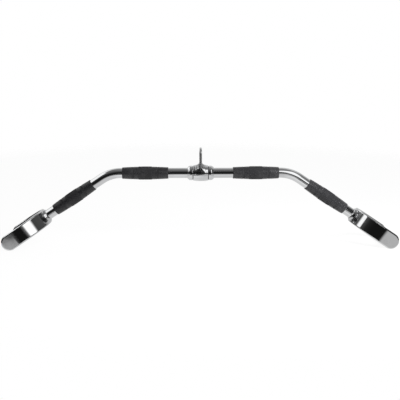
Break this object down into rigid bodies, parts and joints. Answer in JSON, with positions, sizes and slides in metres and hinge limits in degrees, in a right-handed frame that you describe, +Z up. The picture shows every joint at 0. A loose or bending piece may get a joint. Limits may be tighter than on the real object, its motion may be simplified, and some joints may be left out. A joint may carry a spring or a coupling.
{
  "type": "lat pulldown bar",
  "caption": "Wide cable-machine bar, bent down on both sides of a swivelling hanger eye, with rubber hand grips and a stirrup handle across each end.",
  "frame": {"origin": "under the middle of the bar, on the plane that the four rounded strap ends touch", "axes": "+X along the bar to the viewer's right in the picture, +Y away from the viewer, +Z up through the hanger eye"},
  "size_m": [1.0836, 0.1436, 0.2726],
  "materials": {
    "polished_chrome": "bright chrome plate on steel",
    "cast_chrome": "chrome plate on a steel casting, slightly softer than the tube",
    "black_nylon": "plain black nylon",
    "black_steel": "blackened steel screw",
    "grip_rubber": "moulded black rubber with fine ribs and smoother rings"
  },
  "bodies": {
    "bar": {"bar_tube": "polished_chrome", "thrust_washer_left": "black_nylon", "thrust_washer_right": "black_nylon", "collar_left": "polished_chrome", "collar_right": "polished_chrome", "grub_screw_left": "black_steel", "grub_screw_right": "black_steel", "inner_grip_left": "grip_rubber", "inner_grip_right": "grip_rubber", "outer_grip_left": "grip_rubber", "outer_grip_right": "grip_rubber", "stirrup_left": "polished_chrome", "stirrup_right": "polished_chrome", "handle_tube_left": "polished_chrome", "handle_tube_right": "polished_chrome", "handle_grip_left": "grip_rubber", "handle_grip_right": "grip_rubber"},
    "hanger": {"swivel_hanger": "cast_chrome", "bushing_left": "black_nylon", "bushing_right": "black_nylon"}
  },
  "joints": [
    {"name": "hanger_swivel", "type": "hinge", "parent": "bar", "child": "hanger", "pos_m": [0, 0, 0.20194], "axis": [1, 0, 0], "continuous": true}
  ]
}
